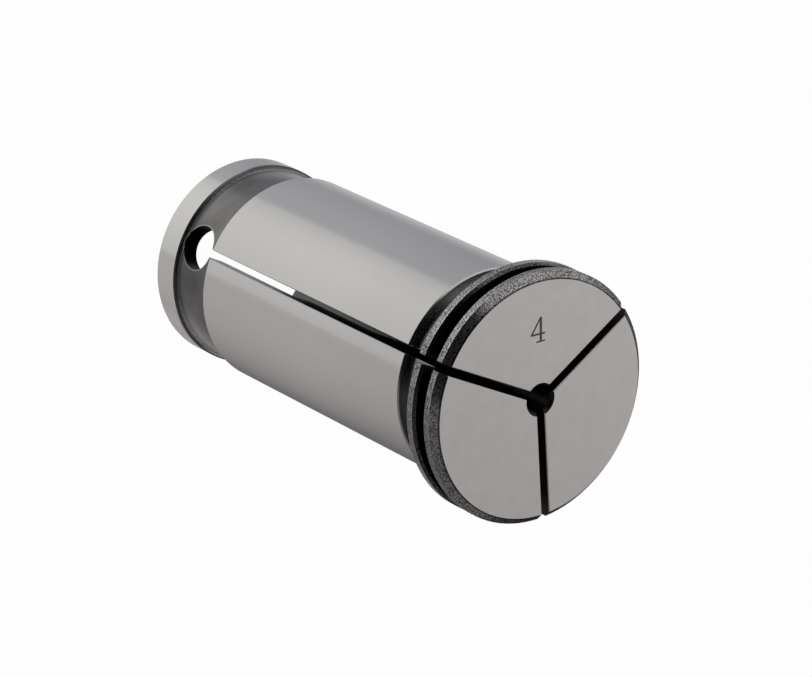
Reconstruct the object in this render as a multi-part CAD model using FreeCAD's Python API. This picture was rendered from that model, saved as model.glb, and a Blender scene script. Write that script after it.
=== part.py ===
# Milling chuck collet: a straight slit sleeve that a milling chuck squeezes onto a cutter shank.
# It is one piece of hardened, ground steel.
# The frame has +Z along the sleeve's axis, from the tail end to the nose face.
# The origin is the centre of the tail end face, where the collet stands. The first slit opens to -Y.
import FreeCAD, Part
import math
import os

# Driving dimensions, in millimetres and degrees

# Lengths along the axis, one after the other from the tail end to the nose face
tail_ring_length = 4.95
undercut_length = 8.4
barrel_length = 50.0
neck_length = 5.7
rear_lip_length = 1.35
groove_bevel = 0.4
groove_width = 2.2
front_lip_length = 1.3
nose_bevel = 1.1

# Outside diameters
barrel_diameter = 32.0
tail_ring_clearance = 0.6
undercut_depth = 1.05
neck_depth = 1.2
head_rise = 2.7
groove_depth = 3.0

# The bore that grips the shank, and the stepped cavity behind it, which makes the wall springy
bore_diameter = 4.0
bore_entry_bevel = 0.5
tail_wall = 3.5
tail_cavity_depth = 31.0
inner_cavity_diameter = 18.5
inner_cavity_length = 16.0
drill_point_angle = 118.0

# The slits, with the round hole that ends each one near the tail
slit_count = 3
slit_width = 1.3
relief_hole_diameter = 6.9
relief_hole_setback = 0.1

# Small turned details
edge_break = 0.2
tail_edge_break = 0.4
slit_edge_break = 0.12
undercut_corner_radius = 0.3

# Sizes that follow from them

undercut_start = tail_ring_length
barrel_start = undercut_start + undercut_length
neck_start = barrel_start + barrel_length
head_start = neck_start + neck_length
groove_start = head_start + rear_lip_length
groove_floor_start = groove_start + groove_bevel
groove_end = groove_floor_start + groove_width
nose_bevel_start = groove_end + front_lip_length
overall_length = nose_bevel_start + nose_bevel

barrel_radius = barrel_diameter / 2
tail_ring_radius = barrel_radius - tail_ring_clearance / 2
undercut_radius = barrel_radius - undercut_depth
neck_radius = barrel_radius - neck_depth
head_radius = barrel_radius + head_rise
groove_radius = head_radius - groove_depth

bore_radius = bore_diameter / 2
tail_cavity_radius = barrel_radius - tail_wall
inner_cavity_radius = inner_cavity_diameter / 2
drill_point_start = tail_cavity_depth + inner_cavity_length
drill_point_length = (inner_cavity_radius - bore_radius) / math.tan(math.radians(drill_point_angle / 2))
grip_start = drill_point_start + drill_point_length

relief_hole_radius = relief_hole_diameter / 2
relief_hole_height = undercut_start + relief_hole_setback + relief_hole_radius


def corner(radius, height, rounding=0.0):
    """One corner of the turned section, with the radius of its fillet, or 0 for a sharp one."""
    return FreeCAD.Vector(radius, 0, height), rounding


def rounded_outline(corners):
    """A closed wire through the corners, with a tangent arc at each one that has a fillet."""
    joints = []
    count = len(corners)
    for index, (place, rounding) in enumerate(corners):
        before = corners[index - 1][0]
        after = corners[(index + 1) % count][0]
        if rounding == 0:
            joints.append((place, place, None))
            continue
        back = (before - place).normalize()
        ahead = (after - place).normalize()
        half_turn = back.getAngle(ahead) / 2
        reach = rounding / math.tan(half_turn)
        centre = place + (back + ahead).normalize() * (rounding / math.sin(half_turn))
        middle = centre + (place - centre).normalize() * rounding
        joints.append((place + back * reach, place + ahead * reach, middle))
    edges = []
    for index, (arc_start, arc_end, middle) in enumerate(joints):
        if middle is not None:
            edges.append(Part.Arc(arc_start, middle, arc_end).toShape())
        next_start = joints[(index + 1) % count][0]
        edges.append(Part.LineSegment(arc_end, next_start).toShape())
    return Part.Wire(edges)


def turned_body():
    """The lathe work: the wall's section, outside and inside, revolved about the axis."""
    outside = [
        corner(tail_cavity_radius + edge_break, 0),
        corner(tail_ring_radius - tail_edge_break, 0),
        corner(tail_ring_radius, tail_edge_break),
        corner(tail_ring_radius, undercut_start - edge_break),
        corner(tail_ring_radius - edge_break, undercut_start),
        corner(undercut_radius, undercut_start, undercut_corner_radius),
        corner(undercut_radius, barrel_start, undercut_corner_radius),
        corner(barrel_radius - edge_break, barrel_start),
        corner(barrel_radius, barrel_start + edge_break),
        corner(barrel_radius, neck_start - edge_break),
        corner(barrel_radius - edge_break, neck_start),
        corner(neck_radius, neck_start),
        corner(neck_radius, head_start),
        corner(head_radius - edge_break, head_start),
        corner(head_radius, head_start + edge_break),
        corner(head_radius, groove_start),
        corner(head_radius - groove_bevel, groove_floor_start),
        corner(groove_radius, groove_floor_start),
        corner(groove_radius, groove_end),
        corner(head_radius - edge_break, groove_end),
        corner(head_radius, groove_end + edge_break),
        corner(head_radius, nose_bevel_start),
        corner(head_radius - nose_bevel, overall_length),
    ]
    inside = [
        corner(bore_radius + bore_entry_bevel, overall_length),
        corner(bore_radius, overall_length - bore_entry_bevel),
        corner(bore_radius, grip_start),
        corner(inner_cavity_radius, drill_point_start),
        corner(inner_cavity_radius, tail_cavity_depth),
        corner(tail_cavity_radius, tail_cavity_depth),
        corner(tail_cavity_radius, edge_break),
    ]
    section = Part.Face(rounded_outline(outside + inside))
    return section.revolve(FreeCAD.Vector(0, 0, 0), FreeCAD.Vector(0, 0, 1), 360)


def vee(tip, wide, along):
    """A long vee cutter that bevels both edges of a slit by slit_edge_break.

    The slit lies in the XZ plane. Tip is the vee's bottom edge in it, wide points out of the wall
    towards the cutter's open side, and along is the cutter's length and direction.
    """
    side = FreeCAD.Vector(0, 1, 0)
    height = slit_width + slit_edge_break
    left = tip + (wide + side) * height
    right = tip + (wide - side) * height
    return Part.Face(Part.makePolygon([tip, left, right, tip])).extrude(along)


def slit_cutter():
    """One slit towards +X: its saw cut, the bevels on its edges and the relief hole at its end."""
    reach = head_radius + slit_width
    saw_length = overall_length + slit_width - relief_hole_height
    corner_place = FreeCAD.Vector(0, -slit_width / 2, relief_hole_height)
    saw_cut = Part.makeBox(reach, slit_width, saw_length, corner_place)

    tip_depth = slit_edge_break + slit_width / 2
    outward = FreeCAD.Vector(1, 0, 0)
    forward = FreeCAD.Vector(0, 0, 1)
    barrel_tip = FreeCAD.Vector(barrel_radius - tip_depth, 0, barrel_start)
    barrel_vee = vee(barrel_tip, outward, forward * barrel_length)
    head_tip = FreeCAD.Vector(head_radius - tip_depth, 0, head_start)
    head_vee = vee(head_tip, outward, forward * (overall_length - head_start))
    face_tip = FreeCAD.Vector(0, 0, overall_length - tip_depth)
    face_vee = vee(face_tip, forward, outward * reach)

    hole_centre = FreeCAD.Vector(0, 0, relief_hole_height)
    relief_hole = Part.makeCylinder(relief_hole_radius, reach, hole_centre, outward)
    return saw_cut.fuse([barrel_vee, head_vee, face_vee, relief_hole])


def slit_pattern():
    """The slits, evenly spaced around the axis, the first one towards -Y."""
    cutters = []
    for index in range(slit_count):
        cutter = slit_cutter()
        turn = -90 + index * 360 / slit_count
        cutter.rotate(FreeCAD.Vector(0, 0, 0), FreeCAD.Vector(0, 0, 1), turn)
        cutters.append(cutter)
    return cutters


def collet():
    """The finished sleeve, one solid."""
    shape = turned_body()
    for cutter in slit_pattern():
        shape = shape.cut(cutter)
    return shape.removeSplitter().Solids[0]


os.makedirs("parts", exist_ok=True)
collet().exportStep("parts/collet.step")
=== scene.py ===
"""The look of the milling chuck collet: a ground steel sleeve with dark, unground reliefs.

Lengths are metres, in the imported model's own frame: +Z runs up the sleeve's axis from its tail end,
which stands on the floor, to the nose face. The first slit opens to -Y. Left and right are the
sleeve's sides towards -X and +X, as seen from -Y with the nose up.
"""
import math

import bpy
from mathutils import Matrix, Vector


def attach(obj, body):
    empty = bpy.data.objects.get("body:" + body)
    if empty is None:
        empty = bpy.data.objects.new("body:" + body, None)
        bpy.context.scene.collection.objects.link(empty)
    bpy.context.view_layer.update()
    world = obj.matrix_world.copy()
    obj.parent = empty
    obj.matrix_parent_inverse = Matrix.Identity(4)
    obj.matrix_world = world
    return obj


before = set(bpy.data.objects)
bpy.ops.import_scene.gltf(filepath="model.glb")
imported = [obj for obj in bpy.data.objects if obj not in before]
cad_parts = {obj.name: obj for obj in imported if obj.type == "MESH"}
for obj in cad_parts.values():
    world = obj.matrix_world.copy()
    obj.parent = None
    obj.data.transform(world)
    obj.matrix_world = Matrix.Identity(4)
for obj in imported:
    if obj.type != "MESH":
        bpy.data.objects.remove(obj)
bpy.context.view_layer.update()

MM = 0.001

# Heights along the axis where one turned surface ends and the next begins, in millimetres
RING_END = 4.95
BARREL_START = 13.35
BARREL_END = 63.35
HEAD_START = 69.05
GROOVE_START = 70.4
GROOVE_END = 73.0
NOSE_BEVEL_START = 74.3
FACE_HEIGHT = 75.4

# Radii, depths and widths, in millimetres
BARREL_RADIUS = 16.0
CAVITY_RADIUS = 12.5
CAVITY_DEPTH = 31.0
MOUTH_RADIUS = 2.5
HOLE_HEIGHT = 8.5
HOLE_RADIUS = 3.45
SLIT_WIDTH = 1.3
EDGE_BREAK = 0.2
SLIT_EDGE_BREAK = 0.12


def slit_directions(turn):
    """The way that a slit opens and the way across it, for its turn about the axis in degrees."""
    angle = math.radians(turn)
    outward = Vector((math.cos(angle), math.sin(angle), 0))
    return outward, Vector((-outward.y, outward.x, 0))


SLITS = [slit_directions(turn) for turn in (-90, 30, 150)]


# Shader maths and nodes

# The Mix node's numbered sockets for its two colours, and its output for the mixed one
FIRST_COLOUR = 6
SECOND_COLOUR = 7
MIXED_COLOUR = 2
# The shader node that every new material has
SHADER = "Principled BSDF"


class Wave:
    """A number that changes over a surface: one socket, where arithmetic adds Math nodes."""

    def __init__(self, finish, socket):
        self.finish = finish
        self.socket = socket

    def worked(self, operation, *values):
        """What one Math node makes of the values."""
        return self.finish.wave("ShaderNodeMath", {"operation": operation}, dict(enumerate(values)))

    def __add__(self, other):
        return self.worked("ADD", self, other)

    __radd__ = __add__

    def __sub__(self, other):
        return self.worked("SUBTRACT", self, other)

    def __rsub__(self, other):
        return self.worked("SUBTRACT", other, self)

    def __mul__(self, other):
        return self.worked("MULTIPLY", self, other)

    __rmul__ = __mul__

    def root(self):
        """The square root."""
        return self.worked("SQRT", self)

    def step(self, start, end):
        """0 below start, 1 above end and smooth between. Start may be the larger of the two."""
        sockets = {"Value": self, "From Min": start, "From Max": end}
        return self.finish.wave("ShaderNodeMapRange", {"interpolation_type": "SMOOTHSTEP"}, sockets)

    def between(self, rise, fall):
        """1 between two soft edges and 0 past them. Each edge is a start and an end, as in step."""
        return self.step(*rise) * self.step(*fall)


def set_stops(elements, stops):
    """Gives a ramp its stops, each a position from 0 to 1 with its colour."""
    elements.remove(elements[1])
    for index, (position, colour) in enumerate(stops):
        element = elements[0] if index == 0 else elements.new(position)
        element.position = position
        element.color = (*colour, 1.0)


class Finish:
    """The nodes of one material or of the world."""

    def __init__(self, owner):
        owner.use_nodes = True
        self.owner = owner
        self.tree = owner.node_tree

    def node(self, kind, settings, sockets):
        """A node of that kind: its settings first, then its sockets by name or by number."""
        made = self.tree.nodes.new(kind)
        for setting, value in settings.items():
            if setting == "stops":
                set_stops(made.color_ramp.elements, value)
            else:
                setattr(made, setting, value)
        self.feed(made, sockets)
        return made

    def feed(self, node, sockets):
        """Links waves and sockets into the sockets that are given, and sets plain values on them."""
        for name, value in sockets.items():
            if isinstance(value, Wave):
                value = value.socket
            if isinstance(value, bpy.types.NodeSocket):
                self.tree.links.new(value, node.inputs[name])
            else:
                node.inputs[name].default_value = value

    def feed_ready(self, name, sockets):
        """The same for a node that a new material or world already has: a shader or an output."""
        self.feed(self.tree.nodes[name], sockets)

    def wave(self, kind, settings, sockets):
        """The number that a node's first output gives."""
        return Wave(self, self.node(kind, settings, sockets).outputs[0])

    def place(self):
        """Where a point is in the object's own frame, in millimetres, as a vector."""
        here = self.node("ShaderNodeTexCoord", {}, {}).outputs["Object"]
        sockets = {0: here, "Scale": 1 / MM}
        return self.node("ShaderNodeVectorMath", {"operation": "SCALE"}, sockets).outputs[0]

    def parts(self, vector):
        """The three numbers of a vector."""
        split = self.node("ShaderNodeSeparateXYZ", {}, {0: vector})
        return [Wave(self, output) for output in split.outputs]

    def grain(self, size, detail=2.0):
        """Noise whose features are about size wide in X, Y and Z, in millimetres, from 0 to 1."""
        sockets = {0: self.place(), 1: tuple(1 / length for length in size)}
        spread = self.node("ShaderNodeVectorMath", {"operation": "MULTIPLY"}, sockets).outputs[0]
        return self.wave("ShaderNodeTexNoise", {}, {"Vector": spread, "Scale": 1.0, "Detail": detail})

    def glance(self):
        """How flatly a surface is seen: 0 from straight above it, 1 from along it."""
        return Wave(self, self.node("ShaderNodeLayerWeight", {}, {"Blend": 0.5}).outputs["Facing"])

    def mixed(self, share, first, second):
        """The colour a share of the way from the first to the second."""
        sockets = {0: share, FIRST_COLOUR: first, SECOND_COLOUR: second}
        return self.node("ShaderNodeMix", {"data_type": "RGBA"}, sockets).outputs[MIXED_COLOUR]

    def painted(self, colour, roughness):
        """The material, once its shader has its colour and how much it blurs reflections."""
        self.feed_ready(SHADER, {"Base Color": colour, "Roughness": roughness})
        return self.owner


def grey(level, warmth=0.0):
    """A linear grey, with a little more red and less blue where warmth is above 0."""
    return (level * (1 + warmth), level, level * (1 - warmth), 1.0)


BLACK = grey(0)
WHITE = grey(1)


# The finishes of the steel, several of them with painted light and shade
# A step along X, Y or Z is in millimetres, and the other numbers are shares of a colour or its level

# Ground lines run around the axis, a quarter turn from the way that the shader takes them to run
LINES_TURN = 0.25


def steel(name, anisotropic=0.0, metallic=1.0):
    """A bare steel finish, with how much more it blurs reflections along the axis than around it."""
    finish = Finish(bpy.data.materials.new(name))
    finish.feed_ready(SHADER, {"Metallic": metallic})
    if anisotropic:
        finish.feed_ready(SHADER, {"Anisotropic": anisotropic, "Anisotropic Rotation": LINES_TURN})
    return finish


def ground_round():
    """The barrel and the tail ring, ground between centres: fine lines run around the axis.

    The ring's right side has painted light, the brightest, and its left side painted shade, the darkest;
    its front edge has painted shade on both sides. The barrel has painted shade towards the flange.
    """
    finish = steel("ground_steel", anisotropic=0.95)
    lines = finish.grain((9.0, 9.0, 0.12), detail=3.0)
    clouds = finish.grain((5.0, 5.0, 5.0))
    across, _, height = finish.parts(finish.place())
    ring = height.step(BARREL_START, RING_END)
    # Painted light: the ring is paler everywhere but on its left, on top of the grain's random tone.
    share = 0.3 * lines + 0.2 * clouds + 0.5 * ring * across.step(-13.0, -9.5)
    colour = finish.mixed(share, grey(0.535, 0.005), grey(0.615, 0.005))
    # Painted highlight on the ring's right side, up to white.
    painted_highlight_side = ring * across.step(10.0, 14.5)
    colour = finish.mixed(painted_highlight_side, colour, WHITE)
    # Painted shade on the ring's left side.
    painted_shade_side = ring * across.step(-14.8, -15.5)
    colour = finish.mixed(painted_shade_side, colour, grey(0.36))
    # Painted shade along the ring's front edge, on its right and on its left.
    painted_shade_front_edge = height.between((RING_END - 0.9, RING_END - 0.35), (RING_END + 1.0, RING_END + 0.5))
    both_sides = across.step(10.0, 13.0) + across.step(-12.5, -14.5)
    colour = finish.mixed(0.9 * painted_shade_front_edge * both_sides, colour, grey(0.1))
    # Painted shade on the barrel towards the flange, most on the right.
    painted_shade_by_flange = height.step(38.0, BARREL_END)
    colour = finish.mixed(painted_shade_by_flange * (0.07 + 0.16 * across.step(10.0, 15.0)), colour, BLACK)
    roughness = 0.11 + 0.03 * lines + 0.2 * ring * across.step(12.0, 15.0)
    return finish.painted(colour, roughness)


def ground_flat():
    """The nose face and the tail end, ground flat."""
    finish = steel("ground_face")
    clouds = finish.grain((2.2, 2.2, 2.2), detail=3.0)
    return finish.painted(finish.mixed(clouds, grey(0.515, 0.015), grey(0.59, 0.01)), 0.28)


def from_holes(finish):
    """How far a point is from each relief hole's axis, in millimetres, and 100 more behind the sleeve's."""
    across, back, height = finish.parts(finish.place())
    rise = height - HOLE_HEIGHT
    distances = []
    for outward, sideways in SLITS:
        ahead = across * outward.x + back * outward.y
        offset = across * sideways.x + back * sideways.y
        distances.append((offset * offset + rise * rise).root() + 100 * ahead.step(1.0, -1.0))
    return distances


def satin_relief():
    """The undercut and the ring's edge beside it: dark satin, with a painted sheen at a glance and painted
    highlights at hole rims.

    Beside the ring it has painted highlights on the right and on the left, and painted shade in the corner.
    The ring's edge has painted shade on both sides. Painted light and shade by side shift its tone.
    """
    finish = steel("dark_satin", anisotropic=0.3)
    grain = finish.grain((0.5, 0.5, 0.35), detail=3.0)
    clouds = finish.grain((5.0, 5.0, 3.0))
    across, _, height = finish.parts(finish.place())
    # Painted light and shade by side, and painted light near the ring, shift the tone between bluish and
    # warm, on top of the grain's random tone.
    side = 0.35 * across.step(-10.5, -8.5) - 0.7 * across.step(-3.0, 3.0) + 0.25 * across.step(5.0, 8.0)
    share = 0.5 * grain + 0.5 * clouds.step(0.3, 0.7) + side + 0.6 * height.step(RING_END + 2.5, RING_END)
    bluish = (0.118, 0.117, 0.128, 1)
    warm = (0.223, 0.218, 0.216, 1)
    colour = finish.mixed(share, bluish, warm)
    # Painted highlights beside the ring, on its right and on its left.
    painted_light_by_ring = height.between((RING_END + 6.0, RING_END + 0.5), (RING_END - 0.02, RING_END + 0.02))
    painted_highlight_ends = across.step(8.0, 14.5) + 0.4 * across.step(-11.5, -14.0)
    painted_highlight_left = 0.12 * across.between((-10.5, -9.0), (-3.0, -6.0))
    colour = finish.mixed(painted_light_by_ring * (painted_highlight_ends + painted_highlight_left), colour, grey(0.62))
    # Painted shade: a dark line in the corner beside the ring, and along the ring's edge on both sides.
    corner = height.step(RING_END + 0.4, RING_END) * across.between((12.0, 6.0), (-16.5, -14.5))
    both_sides = across.step(6.0, 12.0) + across.step(-12.5, -14.5)
    painted_shade_ring_edge = height.step(RING_END + 0.02, RING_END - 0.02) * both_sides
    colour = finish.mixed(0.6 * corner + 0.85 * painted_shade_ring_edge, colour, grey(0.07))
    # Painted sheen: paler where the surface is seen at a glance.
    colour = finish.mixed(finish.glance().step(0.62, 1.0), colour, grey(0.66))
    # Painted highlights around the rims of the relief holes.
    for distance in from_holes(finish):
        painted_rim = distance.step(HOLE_RADIUS + 0.2, HOLE_RADIUS + 0.08)
        colour = finish.mixed(painted_rim, colour, grey(0.42))
    return finish.painted(colour, 0.36 + 0.1 * grain)


def blasted(name, darkest, palest):
    """Blackened steel, blasted with shot: the finish, and how pale it is from one speck to the next."""
    finish = steel(name, metallic=0.94)
    specks = finish.grain((0.18, 0.18, 0.18))
    dents = {"Strength": 0.45, "Distance": 0.03 * MM, "Height": specks}
    finish.feed_ready(SHADER, {"Normal": finish.node("ShaderNodeBump", {}, dents).outputs[0]})
    return finish, darkest + (palest - darkest) * specks.step(0.41, 0.6)


def blasted_lips():
    """The two lips: paler at their corners, with painted light left of the middle, painted shade towards
    the right and, on the rear one, a painted sheen at a glance.
    """
    finish, level = blasted("blasted_steel", 0.05, 0.42)
    across, _, height = finish.parts(finish.place())
    reach = 0.3
    for corner in (HEAD_START + 0.1, GROOVE_START, GROOVE_END + 0.1, NOSE_BEVEL_START):
        away = height - corner
        level = level + 0.1 * (away * away).step(reach * reach, 0.0)
    front = height.step(GROOVE_START, GROOVE_END)
    # Painted light left of the middle and painted shade towards the right.
    side = 1 + 0.3 * across.step(-17.0, -11.0) - 0.3 * across.step(-5.0, -1.0)
    side = side - 0.28 * across.step(-2.0, 14.0) - 0.1 * front * across.step(6.0, 12.0)
    # The rear lip also gets a painted sheen where it is seen at a glance.
    level = level * side + 0.22 * (1 - front) * finish.glance().step(0.6, 0.73)
    return finish.painted(finish.mixed(level, BLACK, WHITE), 0.3)


def blasted_bevel():
    """The nose bevel: blasted more lightly, so that it mirrors the tent, with painted shade along the face
    and painted light by side.
    """
    finish, level = blasted("blasted_bevel", 0.05, 0.41)
    finish.feed_ready(SHADER, {"Specular Tint": grey(0.1)})
    across, back, height = finish.parts(finish.place())
    # Painted shade along the edge by the face.
    painted_rim = height.step(FACE_HEIGHT - 0.28, FACE_HEIGHT - 0.1)
    # Painted light by side.
    side = 0.98 + 0.24 * across.step(-6.0, 3.0) + 0.6 * back.step(-4.5, -0.5)
    level = level * (1 - 0.75 * painted_rim) * side
    return finish.painted(finish.mixed(level, BLACK, WHITE), 0.21)


def dull_relief():
    """The neck, and the walls that step down to it and to the undercut: dull and dark grey, with painted
    light and shade on the walls.
    """
    finish = steel("dark_neck")
    grain = finish.grain((0.4, 0.4, 0.3))
    across, _, height = finish.parts(finish.place())
    # Painted shade on the ring's wall, most on the left.
    painted_shade_ring_wall = height.step(RING_END + 0.05, RING_END) * (0.25 + 0.3 * across.step(-11.0, -14.0))
    # Painted light on the barrel's wall, with painted shade in the middle, where the first slit is.
    painted_shade_by_slit = across.between((-6.0, -4.0), (7.0, 4.0))
    painted_light_barrel_wall = height.step(BARREL_END + 0.05, BARREL_END) * (0.5 - 0.45 * painted_shade_by_slit)
    share = 0.5 * grain + painted_light_barrel_wall - painted_shade_ring_wall
    return finish.painted(finish.mixed(share, grey(0.12), grey(0.55)), 0.22)


def groove_edge():
    """The bevel on the groove's rear edge: black with paler flecks, with painted shade on the left and
    painted light at the far left.
    """
    finish, level = blasted("groove_edge", 0.005, 0.13)
    across = finish.parts(finish.place())[0]
    # Painted shade on the left.
    level = level * (1 - 0.8 * across.between((-13.0, -10.5), (-3.0, -6.0)))
    # Painted light at the far left.
    level = level + 0.08 * across.step(-17.6, -18.3)
    return finish.painted(finish.mixed(level, BLACK, WHITE), 0.24)


def black_relief():
    """The groove, the relief holes and the bore's mouth: black and dull, as blackened steel darkened
    further by painted shade.
    """
    finish = steel("black_relief")
    grain = finish.grain((0.3, 0.3, 0.3))
    # Near black: blackened steel, and painted shade in these hollows.
    return finish.painted(finish.mixed(grain, grey(0.01), grey(0.035)), 0.4)


def sawn_walls():
    """The slit walls: painted light beside the tail cavity and painted shade, near black, above it."""
    finish = steel("sawn_walls")
    grain = finish.grain((0.6, 0.6, 0.6))
    height = finish.parts(finish.place())[2]
    # Painted light on the walls beside the tail cavity, and painted shade, near black, above it.
    level = (0.8 + 0.2 * grain) * (1 - 0.98 * height.step(CAVITY_DEPTH - 3.0, CAVITY_DEPTH + 3.0))
    return finish.painted(finish.mixed(level, BLACK, WHITE), 0.5)


def bored_walls():
    """The cavity and the bore, with painted shade that deepens further up."""
    finish = steel("bored_walls")
    grain = finish.grain((3.0, 3.0, 0.3))
    height = finish.parts(finish.place())[2]
    # Painted shade, deepening further up the cavity.
    level = (0.11 + 0.06 * grain) * (1 - 0.45 * height.step(6.0, CAVITY_DEPTH))
    return finish.painted(finish.mixed(level, BLACK, WHITE), 0.5)


def marked_steel():
    """The burnt mark of the numeral."""
    finish = steel("marked_steel")
    grain = finish.grain((0.15, 0.15, 0.15))
    dark = (0.060, 0.052, 0.056, 1)
    pale = (0.125, 0.112, 0.118, 1)
    return finish.painted(finish.mixed(grain, dark, pale), 0.45)


# Which facet of the collet has which finish

FINISHES = (
    ground_round,
    ground_flat,
    satin_relief,
    blasted_lips,
    blasted_bevel,
    dull_relief,
    groove_edge,
    black_relief,
    sawn_walls,
    bored_walls,
)

# How near a facet lies to a height or a wall that it belongs to, in millimetres
NEAR = 0.01
NEAR_BARREL_STEP = 0.02
NEAR_SLIT_WALL = 0.05
NEAR_HOLE_WALL = 0.08
# The least that the undercut's facets lie inside the barrel's radius, and the bore's inside the cavity's
BELOW_BARREL = 0.26
INSIDE_CAVITY = 0.5
# How far down from the nose face the bore's mouth reaches at most
MOUTH_REACH = 0.6
# Cosines between a facet's normal and a direction that it faces squarely, or lies along
SQUARE = 0.99
ALONG = 0.05
# The same cosine for a facet that faces the axis, and for the groove's bevel, which faces the nose
INWARD = -0.3
ON_BEVEL = (0.5, 0.9)


def in_slit(place, normal):
    """Whether a facet belongs to a slit wall."""
    for outward, sideways in SLITS:
        from_wall = abs(place.dot(sideways)) - SLIT_WIDTH / 2
        squarely = abs(normal.dot(sideways)) > SQUARE
        if place.dot(outward) >= 0 and abs(from_wall) < NEAR_SLIT_WALL and squarely:
            return True
    return False


def in_relief_hole(place, normal):
    """Whether a facet belongs to the wall of a relief hole."""
    for outward, sideways in SLITS:
        from_wall = math.hypot(place.dot(sideways), place.z - HOLE_HEIGHT) - HOLE_RADIUS
        along = abs(normal.dot(outward)) < ALONG
        if place.dot(outward) > 0 and abs(from_wall) < NEAR_HOLE_WALL and along:
            return True
    return False


def finish_of(place, normal):
    """The finish that a facet of the collet has, from where it is and where it faces."""
    radius = math.hypot(place.x, place.y)
    height = place.z
    outward = (normal.x * place.x + normal.y * place.y) / radius
    mouth_foot = FACE_HEIGHT - MOUTH_REACH
    if in_relief_hole(place, normal):
        return black_relief
    if in_slit(place, normal):
        return sawn_walls
    if radius < MOUTH_RADIUS and height > mouth_foot:
        return black_relief
    if outward < INWARD or (radius < CAVITY_RADIUS - INSIDE_CAVITY and height < mouth_foot):
        return bored_walls
    if height > FACE_HEIGHT - SLIT_EDGE_BREAK or height < NEAR:
        return ground_flat
    if abs(height - RING_END) < NEAR and normal.z > SQUARE:
        return dull_relief
    under_barrel = RING_END < height < BARREL_START + NEAR_BARREL_STEP
    if under_barrel and radius < BARREL_RADIUS - BELOW_BARREL:
        return satin_relief
    if RING_END - EDGE_BREAK < height < RING_END + NEAR:
        return satin_relief
    if BARREL_END - EDGE_BREAK < height < HEAD_START + NEAR:
        return dull_relief
    if GROOVE_START + NEAR < height < GROOVE_END + NEAR:
        return groove_edge if ON_BEVEL[0] < normal.z < ON_BEVEL[1] else black_relief
    if height > NOSE_BEVEL_START + NEAR:
        return blasted_bevel
    if height >= HEAD_START:
        return blasted_lips
    return ground_round


def dress_collet(collet):
    """Gives each facet of the collet its finish."""
    collet.data.materials.clear()
    for finish in FINISHES:
        collet.data.materials.append(finish())
    for facet in collet.data.polygons:
        facet.material_index = FINISHES.index(finish_of(facet.center / MM, facet.normal))


dress_collet(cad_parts["collet"])


# The numeral on the nose face, which gives the bore's diameter

# Where its foot is and which way it stands up, in millimetres and degrees
NUMERAL_FOOT = (-7.84, -3.94)
NUMERAL_UP = 206.7
NUMERAL_PROUD = 0.004
# The 4 itself, in millimetres from the middle of its foot. The serif and the bar are given by their
# lower left and upper right corners.
STROKE = 0.42
THIN_STROKE = 0.28
SERIF = ((-0.82, -0.1), (0.76, 0.13))
BAR = ((-1.76, 1.03), (0.77, 1.03 + THIN_STROKE))
STEM_TOP = 3.66
# The left edge of the slanting stroke runs from here at the stem's top to this far under the bar's top
SLANT_TOP = -0.14
SLANT_FOOT = 0.05
# How far in the bar's left end slopes towards its underside
BAR_END_SLOPE = 0.06


def numeral_outline():
    """The outer outline of a 4 with a foot serif, and its counter, with the foot's middle at 0, 0."""
    half = STROKE / 2
    (serif_left, serif_bottom), (serif_right, serif_top) = SERIF
    (bar_left, bar_bottom), (bar_right, bar_top) = BAR
    slant_foot = Vector((bar_left, bar_top - SLANT_FOOT))
    outer = [
        (serif_left, serif_bottom),
        (serif_right, serif_bottom),
        (serif_right, serif_top),
        (half, serif_top),
        (half, bar_bottom),
        (bar_right, bar_bottom),
        (bar_right, bar_top),
        (half, bar_top),
        (half, STEM_TOP),
        (SLANT_TOP, STEM_TOP),
        tuple(slant_foot),
        (bar_left + BAR_END_SLOPE, bar_bottom),
        (-half, bar_bottom),
        (-half, serif_top),
        (serif_left, serif_top),
    ]
    slant = Vector((SLANT_TOP, STEM_TOP)) - slant_foot
    start = slant_foot + Vector((slant.y, -slant.x)).normalized() * THIN_STROKE
    low = start + slant * ((bar_top - start.y) / slant.y)
    high = start + slant * ((-half - start.x) / slant.x)
    counter = [(-half, bar_top), tuple(high), tuple(low)]
    return outer, counter


def numeral():
    """The 4, a thin dark mark on the nose face."""
    data = bpy.data.curves.new("bore_size_mark", "CURVE")
    data.dimensions = "2D"
    data.fill_mode = "BOTH"
    data.extrude = NUMERAL_PROUD * MM / 2
    for outline in numeral_outline():
        spline = data.splines.new("POLY")
        spline.points.add(len(outline) - 1)
        for point, (x, y) in zip(spline.points, outline):
            point.co = (x * MM, y * MM, 0, 1)
        spline.use_cyclic_u = True
    drawn = bpy.data.objects.new("bore_size_mark", data)
    bpy.context.scene.collection.objects.link(drawn)
    place = Vector((*NUMERAL_FOOT, FACE_HEIGHT + NUMERAL_PROUD / 2)) * MM
    turn = math.radians(NUMERAL_UP - 90)
    drawn.matrix_world = Matrix.Translation(place) @ Matrix.Rotation(turn, 4, "Z")
    bpy.context.view_layer.update()
    mesh = bpy.data.meshes.new_from_object(drawn)
    mesh.transform(drawn.matrix_world)
    mark = bpy.data.objects.new("bore_size_mark", mesh)
    bpy.data.objects.remove(drawn)
    bpy.context.scene.collection.objects.link(mark)
    mark.data.materials.append(marked_steel())
    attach(mark, "root")


numeral()


# The floor and the light tent around the collet

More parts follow.
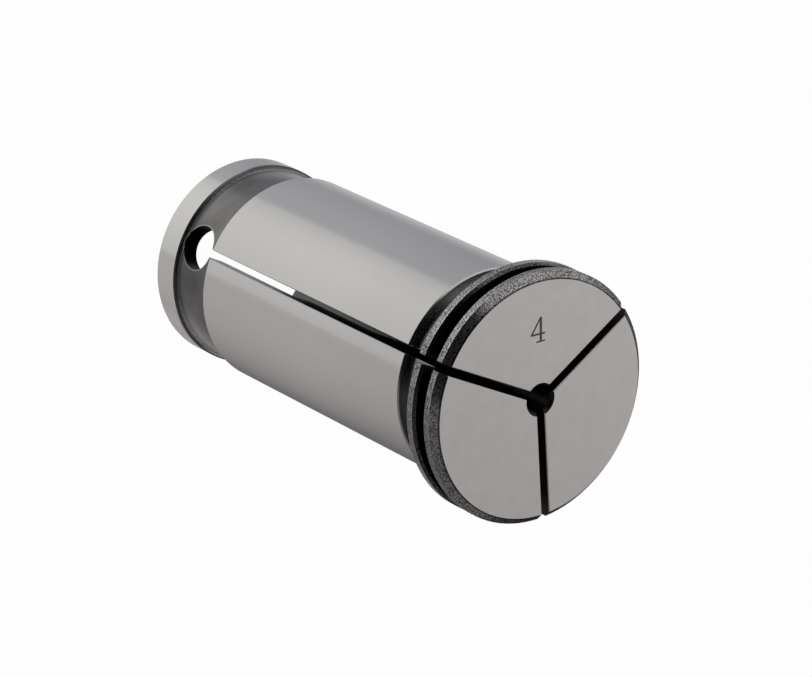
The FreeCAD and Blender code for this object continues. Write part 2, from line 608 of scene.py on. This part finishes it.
# The colour of each of the tent's sides, by direction in degrees
TENT = (
    (-180, (0.570, 0.565, 0.595)),
    (-167, (0.575, 0.568, 0.595)),
    (-163.5, (0.790, 0.781, 0.768)),
    (-148, (0.900, 0.888, 0.865)),
    (-130, (0.955, 0.938, 0.905)),
    (-100, (0.900, 0.885, 0.855)),
    (-76, (0.815, 0.803, 0.790)),
    (-66, (0.785, 0.773, 0.757)),
    (-60.5, (0.628, 0.616, 0.606)),
    (-36, (0.620, 0.594, 0.588)),
    (-10, (0.555, 0.530, 0.523)),
    (12, (0.470, 0.446, 0.440)),
    (30, (0.370, 0.350, 0.348)),
    (50, (0.235, 0.226, 0.225)),
    (66, (0.160, 0.157, 0.157)),
    (84, (0.430, 0.430, 0.438)),
    (100, (0.650, 0.652, 0.664)),
    (116, (0.540, 0.542, 0.556)),
    (132, (0.425, 0.426, 0.448)),
    (150, (0.490, 0.489, 0.522)),
    (180, (0.570, 0.568, 0.595)),
)
# Overhead the light comes from -X: its colour by the X part of the direction
OVERHEAD = (
    (-0.12, (1.00, 0.97, 0.96)),
    (0.075, (0.64, 0.612, 0.607)),
    (0.24, (0.30, 0.29, 0.29)),
    (1.0, (0.22, 0.22, 0.22)),
)
# The Z parts of the direction between which the tent's sides give way to the light overhead
OVERHEAD_EDGE = (-0.1, 0.3)
# The tent's dark parts: the middle of each, the cosines of its soft edge and its colour.
# The first is the opening where the camera looks in, the second a dark flap at the far right.
DARK_PARTS = (
    ((-0.123, -0.696, 0.707), (0.78, 0.87), grey(0.005)),
    ((0.50, 0.84, -0.20), (0.86, 0.97), grey(0.07)),
)
FLOOR_SIZE = 4.0
# How much of the floor's white is its own. The rest shows the collet's shadow.
FLOOR_GLOW = 0.98


def studio_floor():
    """The white floor, which keeps the collet's shadow. Steel mirrors the tent instead of it."""
    bpy.ops.mesh.primitive_plane_add(size=FLOOR_SIZE, location=(0, 0, 0))
    floor = bpy.context.object
    floor.name = "floor"
    material = bpy.data.materials.new("white_floor")
    material.cycles.emission_sampling = "NONE"
    finish = Finish(material)
    path = finish.node("ShaderNodeLightPath", {}, {}).outputs
    seen = Wave(finish, path["Is Camera Ray"])
    paper = finish.node("ShaderNodeBsdfDiffuse", {}, {"Color": grey(0.9)}).outputs[0]
    glow = finish.node("ShaderNodeEmission", {}, {"Color": WHITE, "Strength": 1.0}).outputs[0]
    clear = finish.node("ShaderNodeBsdfTransparent", {}, {}).outputs[0]
    lit = finish.node("ShaderNodeMixShader", {}, {0: seen * FLOOR_GLOW, 1: paper, 2: glow}).outputs[0]
    mirrored = path["Is Glossy Ray"]
    surface = finish.node("ShaderNodeMixShader", {}, {0: mirrored, 1: lit, 2: clear}).outputs[0]
    finish.feed_ready("Material Output", {"Surface": surface})
    floor.data.materials.append(material)


def studio_tent():
    """The pale tent, which lights the collet and which the steel mirrors."""
    world = bpy.data.worlds.new("studio")
    bpy.context.scene.world = world
    finish = Finish(world)
    way = finish.node("ShaderNodeTexCoord", {}, {}).outputs["Generated"]
    x, y, z = finish.parts(way)
    turn = y.worked("ARCTAN2", y, x) * (0.5 / math.pi) + 0.5
    side_stops = [(degrees / 360 + 0.5, colour) for degrees, colour in TENT]
    sides = finish.node("ShaderNodeValToRGB", {"stops": side_stops}, {0: turn}).outputs[0]
    high_stops = [(part / 2 + 0.5, colour) for part, colour in OVERHEAD]
    overhead = finish.node("ShaderNodeValToRGB", {"stops": high_stops}, {0: x * 0.5 + 0.5}).outputs[0]
    light = finish.mixed(z.step(*OVERHEAD_EDGE), sides, overhead)
    for middle, edge, colour in DARK_PARTS:
        facing = finish.node("ShaderNodeVectorMath", {"operation": "DOT_PRODUCT"}, {0: way, 1: middle})
        dark = Wave(finish, facing.outputs["Value"]).step(*edge)
        light = finish.mixed(dark, light, colour)
    path = finish.node("ShaderNodeLightPath", {}, {}).outputs
    light = finish.mixed(path["Is Camera Ray"], light, WHITE)
    finish.feed_ready("Background", {"Color": light})


studio_floor()
studio_tent()


# The camera, as the photograph has it, in millimetres and degrees

CAMERA_PLACE = (-41.12, -370.71, 476.81)
CAMERA_AZIMUTH = 6.40
CAMERA_DOWN = 49.27
CAMERA_ROLL = 115.76
CAMERA_LENS = 173.11
CAMERA_SENSOR = 36.0


def photo_camera():
    """The camera above the collet, turned on its side, so that the sleeve lies across the picture."""
    data = bpy.data.cameras.new("camera")
    data.lens = CAMERA_LENS
    data.sensor_width = CAMERA_SENSOR
    data.clip_start = 0.01
    data.clip_end = 10.0
    camera = bpy.data.objects.new("camera", data)
    bpy.context.scene.collection.objects.link(camera)
    turn = (
        Matrix.Rotation(math.radians(-CAMERA_AZIMUTH), 4, "Z")
        @ Matrix.Rotation(math.radians(90 - CAMERA_DOWN), 4, "X")
        @ Matrix.Rotation(math.radians(CAMERA_ROLL), 4, "Z")
    )
    camera.matrix_world = Matrix.Translation(Vector(CAMERA_PLACE) * MM) @ turn
    bpy.context.scene.camera = camera


photo_camera()
bpy.context.scene.view_settings.view_transform = "Standard"
